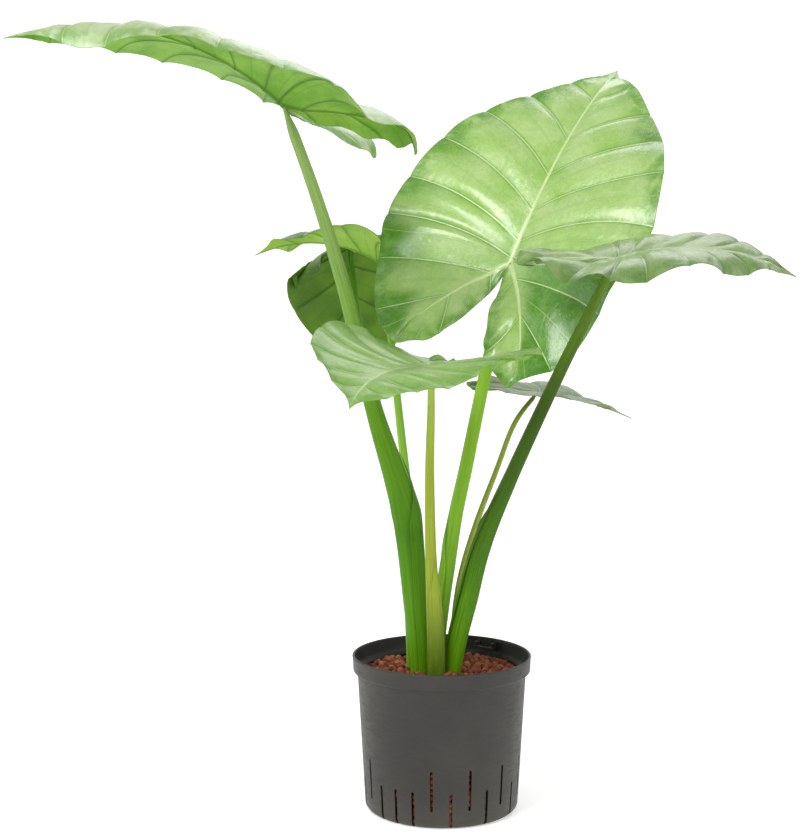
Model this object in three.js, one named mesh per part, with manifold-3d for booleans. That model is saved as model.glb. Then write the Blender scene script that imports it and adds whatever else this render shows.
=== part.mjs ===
import * as THREE from 'three';
import Module from 'manifold-3d';

const wasm = await Module();
wasm.setup();

// Potted giant taro, millimetres, +Z up, +X to the right seen from the front, -Y towards the front.
// The origin is the middle of the pot's base.

// Driving dimensions of the pot
const POT_D = 220;
const POT_H = 192;
const COLLAR_H = 21;
const WALL = 2.2;
const FLOOR = 3;
const BASE_R = POT_D * 0.427;
const WALL_TOP_R = POT_D * 0.471;
const CORNER_R = 9;
const SLOT_COUNT = 26;
const SLOT_TURN = 0.9;
const SHORT_ODD_SLOT = 16;
const SLOT_W = 3.4;
const LONG_SLOT = [22, 72];
const SHORT_SLOT_TOP = 45;

// Driving dimensions of the clay pellet bed
const BED_TOP = POT_H - 18;
const PELLET_R = 7.6;
const PELLET_PITCH = 18.4;
const STEM_FOOT = BED_TOP - 46;

// Gap kept between pieces that touch in the real plant
const GAP = 0.45;

// Blade thickness and the shares that all blades have in common
const BLADE_T = 1.2;
const TIP_DRIP = 16;
const ATTACH_W = 0.6;

// Where the side veins leave the midrib, as shares of the blade length, for outline positions from the tip
const VEIN_W = [0, 0.1, 0.2, 0.3, 0.4, 0.5, ATTACH_W];
const VEIN_START = [1, 0.82, 0.55, 0.35, 0.175, 0.04, 0];

const DEG = Math.PI / 180;
const clamp = (x, a, b) => Math.min(b, Math.max(a, x));

function interp(x, xs, ys) {
  if (x <= xs[0]) return ys[0];
  for (let i = 1; i < xs.length; i++) {
    if (x <= xs[i]) {
      return ys[i - 1] + (ys[i] - ys[i - 1]) * (x - xs[i - 1]) / (xs[i] - xs[i - 1]);
    }
  }
  return ys[ys.length - 1];
}

// Solid helpers
function solidOf(points, tris) {
  const mesh = new wasm.Mesh({
    numProp: 3,
    vertProperties: new Float32Array(points.flat()),
    triVerts: new Uint32Array(tris.flat()),
  });
  return new wasm.Manifold(mesh);
}

function solidOfGeometry(geometry) {
  const pos = geometry.attributes.position;
  const index = geometry.index;
  const count = index ? index.count : pos.count;
  const keyOf = new Map();
  const points = [];
  const ids = [];
  for (let i = 0; i < pos.count; i++) {
    const p = [pos.getX(i), pos.getY(i), pos.getZ(i)];
    const key = p.map((c) => Math.round(c * 1e4)).join(',');
    if (!keyOf.has(key)) {
      keyOf.set(key, points.length);
      points.push(p);
    }
    ids.push(keyOf.get(key));
  }
  const tris = [];
  for (let i = 0; i < count; i += 3) {
    const t = [0, 1, 2].map((k) => ids[index ? index.getX(i + k) : i + k]);
    if (t[0] !== t[1] && t[1] !== t[2] && t[0] !== t[2]) tris.push(t);
  }
  return solidOf(points, tris);
}

function largestBody(solid) {
  const bodies = solid.decompose();
  return bodies.reduce((a, b) => (b.volume() > a.volume() ? b : a));
}

function toMesh(solid, name, color, roughness) {
  const m = solid.getMesh();
  const pts = [];
  for (const v of m.triVerts) {
    for (let k = 0; k < 3; k++) pts.push(m.vertProperties[v * m.numProp + k]);
  }
  const geometry = new THREE.BufferGeometry();
  geometry.setAttribute('position', new THREE.Float32BufferAttribute(pts, 3));
  geometry.computeVertexNormals();
  const material = new THREE.MeshStandardMaterial({ color, roughness, metalness: 0 });
  const mesh = new THREE.Mesh(geometry, material);
  mesh.name = name;
  return mesh;
}

// A closed skin through rings of points, each ring counter-clockwise about the way forward
function skin(rings) {
  const n = rings[0].length;
  const points = rings.flat();
  const tris = [];
  for (let i = 0; i < rings.length - 1; i++) {
    for (let j = 0; j < n; j++) {
      const a = i * n + j;
      const b = i * n + ((j + 1) % n);
      tris.push([a, b, b + n], [a, b + n, a + n]);
    }
  }
  const mid = (ring) => [0, 1, 2].map((k) => ring.reduce((s, p) => s + p[k], 0) / n);
  const first = points.length;
  points.push(mid(rings[0]), mid(rings[rings.length - 1]));
  const top = (rings.length - 1) * n;
  for (let j = 0; j < n; j++) {
    const k = (j + 1) % n;
    tris.push([first, k, j], [first + 1, top + j, top + k]);
  }
  return solidOf(points, tris);
}

// Blade outline in its own plane: w runs tip 0, widest 0.5, lobe end 1, notch 2
function bezier(p, t) {
  const s = 1 - t;
  return [0, 1].map((k) => s * s * s * p[0][k] + 3 * s * s * t * p[1][k]
    + 3 * s * t * t * p[2][k] + t * t * t * p[3][k]);
}

function outline(w, leaf, notch) {
  const { L, W, B, lobe, wide } = leaf;
  const y = lobe * W;
  const x = wide * L;
  if (w < 0.5) {
    const p = bezier([[L, 0], [0.86 * L, 0.3 * W], [0.55 * L, W], [x, W]], w / 0.5);
    p[0] += TIP_DRIP * clamp(1 - w / 0.05, 0, 1) ** 2;
    return p;
  }
  if (w < 1) {
    const near = [x - 0.45 * (x + B), W];
    return bezier([[x, W], near, [-B, y + 0.42 * (W - y)], [-B, y]], (w - 0.5) / 0.5);
  }
  return bezier([[-B, y], [-B, 0.45 * y], [-0.5 * B, 0.05 * W * notch], [0, 0]], w - 1);
}

// Midrib from tip to stem, then the rib that runs into the lobe
function ribLine(w, leaf) {
  const { L, W, B, lobe } = leaf;
  if (w <= ATTACH_W) return [L * interp(w, VEIN_W, VEIN_START) + (w === 0 ? TIP_DRIP : 0), 0];
  const k = clamp(w <= 1 ? (w - ATTACH_W) / (1 - ATTACH_W) : 2 - w, 0, 1);
  const c = [-0.3 * B, 0.62 * lobe * W];
  const e = [-0.8 * B, 0.98 * lobe * W];
  return [0, 1].map((i) => 2 * (1 - k) * k * c[i] + k * k * e[i]);
}

function flatPoint(w, t, leaf, notch) {
  const m = outline(w, leaf, notch);
  const s = ribLine(w, leaf);
  const d = Math.hypot(m[0] - s[0], m[1] - s[1]);
  const bow = interp(w, [0, ATTACH_W, 1, 1.3, 2], [0.12, 0.14, 0, -0.05, 0]);
  const c = [(s[0] + m[0]) / 2 + bow * d, (s[1] + m[1]) / 2];
  return [0, 1].map((i) => (1 - t) ** 2 * s[i] + 2 * (1 - t) * t * c[i] + t * t * m[i]);
}

// Length along a line whose slope angle changes with the distance
function bentLine(q, slope) {
  const steps = 40;
  let x = 0;
  let z = 0;
  for (let i = 0; i < steps; i++) {
    const a = slope(q * (i + 0.5) / steps);
    x += Math.cos(a) * q / steps;
    z += Math.sin(a) * q / steps;
  }
  return [x, z];
}

// Point of the bent blade; side +1 is the left half seen from the stem
function bladePoint(w, t, side, leaf) {
  const { L, W, B } = leaf;
  const h = side > 0 ? leaf.left : leaf.right;
  const [u, v] = flatPoint(w, t, leaf, h.notch);
  const back = u < 0;
  const q = back ? clamp(-u / B, 0, 1.2) : clamp(u / L, 0, 1.15);
  const arch = (x) => -leaf.arch * DEG * Math.min(x, 1);
  const drop = (x) => -(h.lobeCurl * x + h.lobeDrop * Math.min(x / 0.25, 1)) * DEG;
  const slope = back ? drop : arch;
  const [lx, lz] = bentLine(q, slope);
  let px = back ? -lx * B : lx * L;
  let pz = lz * (back ? B : L);
  const lean = back ? -slope(q) : slope(q);
  const front = clamp(u / L, 0, 1);
  const rear = clamp(-u / B, 0, 1);
  const fold = (h.fold + h.foldRear * rear + h.foldTip * front) * DEG;
  const turn = (Math.abs(h.curl) < 0.01 ? 0.01 : h.curl) * DEG / W;
  const end = fold + turn * v;
  const across = (Math.sin(end) - Math.sin(fold)) / turn;
  const rise = (Math.cos(fold) - Math.cos(end)) / turn;
  let edge = -h.hem * t ** 4 + h.wave * t ** 3 * Math.sin(2 * Math.PI * (h.waves * w + h.phase));
  edge *= clamp(w / 0.15, 0, 1) * (w > 1 ? clamp(2 - w, 0, 1) : 1);
  const lat = (across - edge * Math.sin(end)) * side;
  const up = rise + edge * Math.cos(end);
  const twist = leaf.twist * DEG * front;
  const y = lat * Math.cos(twist) - up * Math.sin(twist);
  const z = lat * Math.sin(twist) + up * Math.cos(twist);
  px += -z * Math.sin(lean);
  pz += z * Math.cos(lean);
  const py = y + leaf.bend * L * clamp(u / L, 0, 1.1) ** 2 / 2;
  return new THREE.Vector3(px, py, pz).applyMatrix4(leaf.frame);
}

// Columns of a blade run along its veins: every second one is a vein
function bladeColumns(leaf) {
  const body = [0, 0.03];
  for (let i = 0; i <= leaf.bodyCols; i++) {
    body.push(0.07 + (ATTACH_W - 0.07) * i / leaf.bodyCols);
  }
  const out = [];
  const home = [];
  for (let i = 1; i <= leaf.lobeCols; i++) out.push(ATTACH_W + (1 - ATTACH_W) * i / leaf.lobeCols);
  for (let i = 1; i <= leaf.lobeCols; i++) home.push(1 + i / leaf.lobeCols);
  return { body, all: [...body, ...out, ...home] };
}

const ROWS = [0, 0.07, 0.32, 0.6, 0.83, 1];

function bladeSolid(leaf, extra = 0) {
  const { body, all } = bladeColumns(leaf);
  const keyOf = new Map();
  const mid = [];
  const meta = [];
  const grid = {};
  const put = (w, t, side, col) => {
    const p = bladePoint(w, t, side, leaf);
    const key = [p.x, p.y, p.z].map((c) => Math.round(c * 50)).join(',');
    if (!keyOf.has(key)) {
      keyOf.set(key, mid.length);
      mid.push(p);
      meta.push({ w, t, col });
    }
    return keyOf.get(key);
  };
  for (const side of [1, -1]) {
    grid[side] = all.map((w, col) => ROWS.map((t) => put(w, t, side, col)));
  }
  const tris = [];
  const add = (a, b, c, side) => {
    if (a === b || b === c || a === c) return;
    tris.push(side > 0 ? [a, b, c] : [a, c, b]);
  };
  const rim = [];
  for (const side of [1, -1]) {
    const g = grid[side];
    for (let i = 0; i < g.length - 1; i++) {
      for (let j = 0; j < ROWS.length - 1; j++) {
        const [a, b, c, d] = [g[i][j], g[i][j + 1], g[i + 1][j + 1], g[i + 1][j]];
        if ((i + j) % 2 === 0) {
          add(a, b, c, side);
          add(a, c, d, side);
        } else {
          add(a, b, d, side);
          add(b, c, d, side);
        }
      }
    }
    const last = ROWS.length - 1;
    for (let i = 0; i < g.length - 1; i++) {
      const [a, b] = [g[i][last], g[i + 1][last]];
      if (a !== b) rim.push(side > 0 ? [a, b] : [b, a]);
    }
  }
  const normals = mid.map(() => new THREE.Vector3());
  for (const [a, b, c] of tris) {
    const n = new THREE.Vector3().subVectors(mid[b], mid[a])
      .cross(new THREE.Vector3().subVectors(mid[c], mid[a]));
    for (const k of [a, b, c]) normals[k].add(n);
  }
  normals.forEach((n) => n.normalize());
  const upSign = normals[grid[1][3][2]].dot(leaf.up) >= 0 ? 1 : -1;
  const count = mid.length;
  const top = [];
  const bottom = [];
  mid.forEach((p, i) => {
    const { w, t, col } = meta[i];
    const n = normals[i].clone().multiplyScalar(upSign);
    const middle = Math.sin(Math.PI * clamp(t, 0, 0.9));
    const shift = (col % 2 === 0 ? 1 : -1) * leaf.puff * middle * clamp(w / 0.12, 0, 1);
    const half = BLADE_T / 2 + extra;
    const rib = t === 0 ? leaf.rib * interp(w, [0, ATTACH_W, 0.9, 1, 1.2, 2], [0.15, 1, 0.35, 0.2, 0.3, 1]) : 0;
    const a = p.clone().addScaledVector(n, half + shift);
    const b = p.clone().addScaledVector(n, -half - rib + shift);
    top.push([a.x, a.y, a.z]);
    bottom.push([b.x, b.y, b.z]);
  });
  const flip = upSign < 0;
  const faces = [];
  for (const [a, b, c] of tris) {
    faces.push(flip ? [a, c, b] : [a, b, c]);
    faces.push(flip ? [a + count, b + count, c + count] : [a + count, c + count, b + count]);
  }
  for (const [a, b] of rim) {
    const [p, q] = flip ? [a, b] : [b, a];
    faces.push([p, q, q + count], [p, q + count, p + count]);
  }
  return solidOf([...top, ...bottom], faces);
}

// The seven leaves; angles in degrees, positions of the stem's end in millimetres
function half(fold, curl, foldRear, foldTip, lobeDrop, lobeCurl, hem, wave, waves, phase, notch = 1) {
  return { fold, curl, foldRear, foldTip, lobeDrop, lobeCurl, hem, wave, waves, phase, notch };
}

const leaves = {
  upper_left: {
    L: 334, W: 146, B: 150, lobe: 0.5, wide: 0.06, at: [-188, -40, 857], yaw: 200, pitch: 42, roll: 2,
    arch: 60, twist: -9, bend: 0.16, rib: 4, puff: 1.1, bodyCols: 12, lobeCols: 5,
    left: half(24, -25, -5, -26, -28, 7, 17, 7, 3.7, 0.13),
    right: half(12, 6, 10, -28, -28, 17, 17, 5, 2.5, 0.84),
  },
  centre: {
    L: 348, W: 181, B: 166, lobe: 0.44, wide: 0.14, at: [88, 95, 669], yaw: 30, pitch: 66, roll: 33,
    arch: 44, twist: 1, bend: 0.09, rib: 4, puff: 1.1, bodyCols: 12, lobeCols: 5,
    left: half(12.5, -11, 2.5, -19, -21, -1.5, -4, 3.2, 3.6, 0.08),
    right: half(26, -19, -16, -21, -14, -2, -6, 9.8, 3.7, 0.88, -1),
  },
  right: {
    L: 200, W: 107, B: 117, lobe: 0.5, wide: 0.05, at: [193.5, -120, 677.5], yaw: -9, pitch: 19, roll: 18,
    arch: 49, twist: 0, bend: 0.08, rib: 3.5, puff: 0.9, bodyCols: 12, lobeCols: 4,
    left: half(11, -46, 7, -6, -8, 2, -5, -2.5, 3.8, -0.27),
    right: half(18, -11, 6, -8, -13, -28, 12, 7, 4.2, 0.73),
  },
  rear_left: {
    L: 160, W: 92, B: 70, lobe: 0.52, wide: 0.04, at: [-78, 235, 668], yaw: 171, pitch: 31, roll: 6,
    arch: 52, twist: 3, bend: 0, rib: 2.5, puff: 0.7, bodyCols: 8, lobeCols: 4,
    left: half(25, -29, 2.5, 4.5, 2.5, 6, 5, 15, 2.14, 0.23),
    right: half(13, -11, 4, -1, 1, 5, 4, 6, 3.6, 0.23),
  },
  front: {
    L: 166, W: 126, B: 105, lobe: 0.54, wide: 0.04, at: [-16, -130, 555], yaw: 220.5, pitch: 6.5, roll: 45.6,
    arch: 46, twist: -16.5, bend: 0.03, rib: 3, puff: 0.8, bodyCols: 12, lobeCols: 4,
    left: half(-34, -1.5, 9.5, -7, -7, 6, 4, 3, 3.7, -0.42),
    right: half(52, 20, -16, 1, -7, -10, -4, 2.5, 3.8, 0.62),
  },
  low_right: {
    L: 113, W: 70, B: 89, lobe: 0.52, wide: 0.04, at: [126, 148, 500.5], yaw: 2, pitch: -5, roll: 2,
    arch: 18, twist: -1, bend: 0.01, rib: 2.2, puff: 0.6, bodyCols: 8, lobeCols: 4,
    left: half(11, -6, 1, -2, -2, 10, 3, 4.5, 3, 0.01),
    right: half(8, -7, -2, 0, -4, 5, 1, -2, 3.6, 0.08),
  },
  hanging: {
    L: 200, W: 117, B: 62, lobe: 0.5, wide: 0.04, at: [-122, 378, 690], yaw: 76, pitch: -64, roll: -30,
    arch: 17, twist: 3, bend: 0.07, rib: 2.5, puff: 0.7, bodyCols: 8, lobeCols: 4,
    left: half(-11, -28, -8, 5, 53, 3, 4, 6, 3.5, -0.29),
    right: half(-5, -21, 0, 0, 60, 10, 5, 4.5, 3.4, 0.24),
  },
};

for (const leaf of Object.values(leaves)) {
  const turn = new THREE.Matrix4().makeRotationZ(leaf.yaw * DEG)
    .multiply(new THREE.Matrix4().makeRotationY(-leaf.pitch * DEG))
    .multiply(new THREE.Matrix4().makeRotationX(leaf.roll * DEG));
  leaf.frame = new THREE.Matrix4().makeTranslation(...leaf.at).multiply(turn);
  leaf.up = new THREE.Vector3(0, 0, 1).applyMatrix4(turn);
}

// Stems: way points from the bed up, ending at the blade's own point, then widths across and front to back
const stems = {
  upper_left: {
    path: [[-24, -1, STEM_FOOT], [-27, -1, 190], [-33, -2, 259], [-39, -3, 330], [-44, -4, 368], [-55, -5, 408],
      [-82, -8, 494], [-117, -14, 639], [-149, -24, 746]],
    width: [24, 26, 29, 33, 36, 31, 22, 18, 15, 12],
    depth: [20, 20, 21, 21, 21, 20, 18, 15, 13, 10],
  },
  right: {
    path: [[9, -4, STEM_FOOT], [15, -5, 190], [31, -9, 261], [48, -15, 329], [84, -32, 421],
      [136, -66, 544], [167, -94, 615]],
    width: [20, 24, 26, 24, 18, 15, 13, 10],
    depth: [18, 19, 19, 18, 16, 14, 12, 9],
  },
  front: {
    path: [[-7, -21, STEM_FOOT], [-8, -23, 200], [-11, -27, 264], [-14, -34, 320], [-16, -54, 427],
      [-15, -88, 505]],
    width: [20, 21, 18, 14, 11, 9, 7.5],
    depth: [12, 12, 12, 11, 10, 9, 7.5],
  },
  centre: {
    path: [[-6, 14, STEM_FOOT], [-5, 16, 190], [0, 19, 243], [8, 24, 298], [18, 33, 361],
      [30, 42, 415], [54, 66, 527], [73, 84, 610]],
    width: [17, 18, 19, 19, 18, 17, 16, 14, 11],
    depth: [14, 15, 16, 16, 16, 15, 14, 12, 10],
  },
  rear_left: {
    path: [[-22, 22, STEM_FOOT], [-23, 27, 200], [-36, 62, 338], [-45, 92, 411], [-55, 134, 497],
      [-65, 182, 585]],
    width: [12, 12, 11.5, 11, 10, 9, 7],
    depth: [10, 10, 10, 10, 9, 8, 7],
  },
  low_right: {
    path: [[12, 17, STEM_FOOT], [14, 20, 200], [22, 28, 273], [40, 44, 336], [70, 70, 411],
      [94, 100, 466]],
    width: [9, 9, 8.5, 8, 7, 6.5, 5.5],
    depth: [9, 9, 8, 7.5, 7, 6, 5.5],
  },
  hanging: {
    path: [[-38, 15, STEM_FOOT], [-39, 22, 200], [-50, 86, 345], [-73, 140, 441], [-102, 224, 564],
      [-116, 320, 640]],
    width: [10, 10, 10, 9.5, 8.5, 7.5, 6],
    depth: [10, 10, 9.5, 9, 8, 7, 6],
  },
};

for (const name of Object.keys(stems)) stems[name].path.push(leaves[name].at);

const STEM_SIDES = 12;
const STEM_RINGS = 15;

function stemSolid(stem, extra = 0) {
  const curve = new THREE.CatmullRomCurve3(stem.path.map((p) => new THREE.Vector3(...p)), false, 'centripetal');
  const rings = [];
  const stops = stem.path.length - 1;
  for (let i = 0; i <= STEM_RINGS; i++) {
    const k = i / STEM_RINGS;
    const p = curve.getPoint(k);
    const way = curve.getTangent(k);
    const wide = new THREE.Vector3(1, 0, 0).addScaledVector(way, -way.x).normalize();
    const deep = new THREE.Vector3().crossVectors(way, wide);
    const at = stem.path.map((_, j) => j / stops);
    const a = interp(k, at, stem.width) / 2 + extra;
    const b = interp(k, at, stem.depth) / 2 + extra;
    if (i === 0) p.z -= extra;
    const ring = [];
    for (let j = 0; j < STEM_SIDES; j++) {
      const f = 2 * Math.PI * (j + 0.5) / STEM_SIDES;
      const c = p.clone().addScaledVector(wide, a * Math.cos(f)).addScaledVector(deep, b * Math.sin(f));
      ring.push([c.x, c.y, c.z]);
    }
    rings.push(ring);
  }
  return skin(rings);
}

// Pot: a turned shell with a collar, slots round the foot and a holder on the inside for a level gauge
function potWallR(z) {
  return BASE_R + (WALL_TOP_R - BASE_R) * clamp(z / (POT_H - COLLAR_H), 0, 1);
}

function turned(profile, sides) {
  return solidOfGeometry(new THREE.LatheGeometry(profile.map((p) => new THREE.Vector2(...p)), sides)
    .rotateX(Math.PI / 2));
}

function block(angle, r0, r1, halfWidth, z0, z1) {
  const points = [];
  for (const z of [z0, z1]) {
    for (const [r, s] of [[r0, -1], [r1, -1], [r1, 1], [r0, 1]]) {
      const x = r * Math.cos(angle) - s * halfWidth * Math.sin(angle);
      const y = r * Math.sin(angle) + s * halfWidth * Math.cos(angle);
      points.push([x, y, z]);
    }
  }
  const tris = [[0, 2, 1], [0, 3, 2], [4, 5, 6], [4, 6, 7]];
  for (let i = 0; i < 4; i++) {
    const j = (i + 1) % 4;
    tris.push([i, j, j + 4], [i, j + 4, i + 4]);
  }
  return solidOf(points, tris);
}

function potProfile() {
  const foot = potWallR(CORNER_R);
  const neck = POT_H - COLLAR_H;
  const rim = POT_D / 2;
  const out = [[0, 0], [foot - CORNER_R, 0]];
  for (let i = 1; i <= 3; i++) {
    const a = Math.PI / 2 * i / 3;
    out.push([foot - CORNER_R + CORNER_R * Math.sin(a), CORNER_R - CORNER_R * Math.cos(a)]);
  }
  out.push([potWallR(neck), neck], [rim - 1.5, neck + 2.5], [rim - 0.6, POT_H - 3.5]);
  out.push([rim, POT_H - 1.8], [rim - 0.5, POT_H - 0.3], [rim - WALL, POT_H]);
  out.push([rim - 1.8 - WALL, neck + 4], [potWallR(neck) - WALL, neck - 1]);
  out.push([foot - WALL, CORNER_R + 1], [foot - WALL - 2, FLOOR + 3.5], [foot - WALL - 6, FLOOR], [0, FLOOR]);
  return out;
}

function potSolid() {
  let pot = turned(potProfile(), 48);
  for (let i = 0; i < SLOT_COUNT; i++) {
    const angle = 2 * Math.PI * (i + SLOT_TURN) / SLOT_COUNT;
    const long = i % 2 === 0 && i !== SHORT_ODD_SLOT;
    const [z0, z1] = long ? LONG_SLOT : [-2, SHORT_SLOT_TOP];
    const inner = long ? BASE_R - 8 : BASE_R - 6.5;
    pot = pot.subtract(block(angle, inner, WALL_TOP_R + 4, SLOT_W / 2, z0, z1));
  }
  const spot = 55 * DEG;
  const wallR = POT_D / 2 - WALL - 0.4;
  const shelf = block(spot, wallR - 13, wallR, 14, POT_H - 12, POT_H - 9.5);
  const cheeks = [-1, 1].map((s) => block(spot + s * 0.12, wallR - 13, wallR, 1.2, POT_H - 10, POT_H - 4));
  const hole = block(spot, wallR - 10.5, wallR - 4.5, 5, POT_H - 20, POT_H - 5);
  return pot.add(shelf).add(cheeks[0]).add(cheeks[1]).subtract(hole);
}

// Bed: a filling with half-sunk pellets on it
function bedSolid(stemHoles) {
  const side = (z) => potWallR(z) - WALL - GAP;
  const foot = side(CORNER_R);
  const z0 = FLOOR + GAP;
  const profile = [[0, z0], [foot - 6.5, z0], [foot - 2.2, z0 + 4.5], [foot, CORNER_R + 2]];
  profile.push([side(BED_TOP - 12), BED_TOP - 12], [side(BED_TOP - 12) - 3, BED_TOP - 4], [0, BED_TOP - 4]);
  let bed = turned(profile, 36);
  const pellets = [];
  const rows = Math.ceil(POT_D / PELLET_PITCH);
  let seed = 7;
  const random = () => {
    seed = (seed * 16807) % 2147483647;
    return seed / 2147483647;
  };
  for (let i = -rows; i <= rows; i++) {
    for (let j = -rows; j <= rows; j++) {
      const x = (i + (j % 2 === 0 ? 0 : 0.5)) * PELLET_PITCH + (random() - 0.5) * 2.4;
      const y = j * PELLET_PITCH * 0.866 + (random() - 0.5) * 2.4;
      const r = PELLET_R * (0.9 + 0.24 * random());
      const lift = BED_TOP - 4.2 + random() * 1.6;
      const spin = random() * 3;
      if (Math.hypot(x, y) > side(BED_TOP) - 7.4) continue;
      if (Math.hypot((x + 10) / 30, (y - 2) / 32) < 1) continue;
      const g = new THREE.IcosahedronGeometry(r, 0);
      g.rotateX(spin);
      g.rotateZ(spin * 2);
      g.scale(1, 1, 0.82);
      g.translate(x, y, lift);
      pellets.push(solidOfGeometry(g));
    }
  }
  for (const p of pellets) bed = bed.add(p);
  for (const hole of stemHoles) bed = bed.subtract(hole);
  return largestBody(bed);
}

// Assembly
const group = new THREE.Group();
group.name = 'potted_giant_taro';

const blades = {};
for (const [name, leaf] of Object.entries(leaves)) blades[name] = bladeSolid(leaf);

const done = {};
for (const [name, stem] of Object.entries(stems)) {
  const tool = bladeSolid(leaves[name], 0.3);
  let solid = stemSolid(stem).subtract(tool);
  for (const d of [[1, 0, 0], [0, 1, 0], [0, 0, 1]]) {
    for (const s of [0.8, -0.8]) solid = solid.subtract(tool.translate(d.map((c) => c * s)));
  }
  for (const other of Object.keys(done)) solid = solid.subtract(stemSolid(stems[other], GAP));
  done[name] = largestBody(largestBody(solid).simplify(0.2));
}

const bladeColor = {
  upper_left: 0x86b356, centre: 0x77b348, right: 0x8aa86c, rear_left: 0x93b95a,
  front: 0x9dbd7c, low_right: 0x93a66d, hanging: 0x4d7a1c,
};
const stemColor = {
  upper_left: 0x6c9c3a, right: 0x4c7614, front: 0x9dac4a, centre: 0x82b446,
  rear_left: 0x86b055, low_right: 0x8c9a4e, hanging: 0x6f9a3c,
};

group.add(toMesh(potSolid(), 'pot', 0x4b4842, 0.6));
group.add(toMesh(bedSolid(Object.values(stems).map((s) => stemSolid(s, GAP))), 'clay_pellets', 0x8a4a38, 0.9));
for (const name of Object.keys(stems)) {
  group.add(toMesh(done[name], `stem_${name}`, stemColor[name], 0.5));
}
for (const name of Object.keys(leaves)) {
  group.add(toMesh(blades[name], `blade_${name}`, bladeColor[name], 0.45));
}

export default group;
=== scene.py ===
"""Looks of a potted giant taro: seven heart-shaped leaves on long stalks in a pot of clay pellets.

Lengths in the tables are millimetres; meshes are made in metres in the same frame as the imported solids.
"""
import math

import bmesh
import bpy
import numpy as np
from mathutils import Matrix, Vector


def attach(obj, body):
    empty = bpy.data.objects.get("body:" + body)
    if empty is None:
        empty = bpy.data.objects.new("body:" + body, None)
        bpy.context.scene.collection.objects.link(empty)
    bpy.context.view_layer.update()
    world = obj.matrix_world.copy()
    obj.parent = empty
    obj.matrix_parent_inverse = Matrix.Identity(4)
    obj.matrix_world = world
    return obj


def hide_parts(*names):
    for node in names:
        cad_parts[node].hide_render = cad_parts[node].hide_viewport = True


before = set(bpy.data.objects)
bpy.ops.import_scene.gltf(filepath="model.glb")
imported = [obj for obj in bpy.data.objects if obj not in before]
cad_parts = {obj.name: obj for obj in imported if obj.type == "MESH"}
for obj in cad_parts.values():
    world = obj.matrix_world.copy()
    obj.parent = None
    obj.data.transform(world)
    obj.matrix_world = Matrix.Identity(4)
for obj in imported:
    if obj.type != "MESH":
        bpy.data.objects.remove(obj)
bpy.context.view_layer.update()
MM = 0.001

# The same driving dimensions as the solids
POT_D = 220.0
POT_H = 192.0
COLLAR_H = 21.0
WALL = 2.2
FLOOR = 3.0
BASE_R = POT_D * 0.427
WALL_TOP_R = POT_D * 0.471
CORNER_R = 9.0
SLOT_COUNT = 26
SLOT_TURN = 0.9
SHORT_ODD_SLOT = 16
SLOT_W = 3.4
GAUGE_DEG = 55
GAUGE_REACH = 13.0
BED_TOP = POT_H - 18
STEM_FOOT = BED_TOP - 46
TIP_DRIP = 16.0
ATTACH_W = 0.6
VEIN_W = [0, 0.1, 0.2, 0.3, 0.4, 0.5, ATTACH_W]
VEIN_START = [1, 0.82, 0.55, 0.35, 0.175, 0.04, 0]
BLADE_T = 0.8
SHEATH_T = 0.55

# Height of the quilting between the side veins
QUILT = 4.2


# One side of a blade: angles in degrees, hem and wave heights in millimetres
def half(fold, curl, fold_rear, fold_tip, lobe_drop, lobe_curl, hem, wave, waves, phase, notch=1.0):
    return dict(fold=fold, curl=curl, fold_rear=fold_rear, fold_tip=fold_tip, lobe_drop=lobe_drop,
                lobe_curl=lobe_curl, hem=hem, wave=wave, waves=waves, phase=phase, notch=notch)


# A blade: L from stalk to tip, W half the width, B from stalk back to the lobes, at the place of the stalk
def leaf(L, W, B, lobe, wide, at, yaw, pitch, roll, arch, twist, bend, rib, puff, body, lobes, left, right):
    return dict(L=L, W=W, B=B, lobe=lobe, wide=wide, at=at, yaw=yaw, pitch=pitch, roll=roll, arch=arch,
                twist=twist, bend=bend, rib=rib, puff=puff, body=body, lobes=lobes, left=left, right=right)


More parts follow.
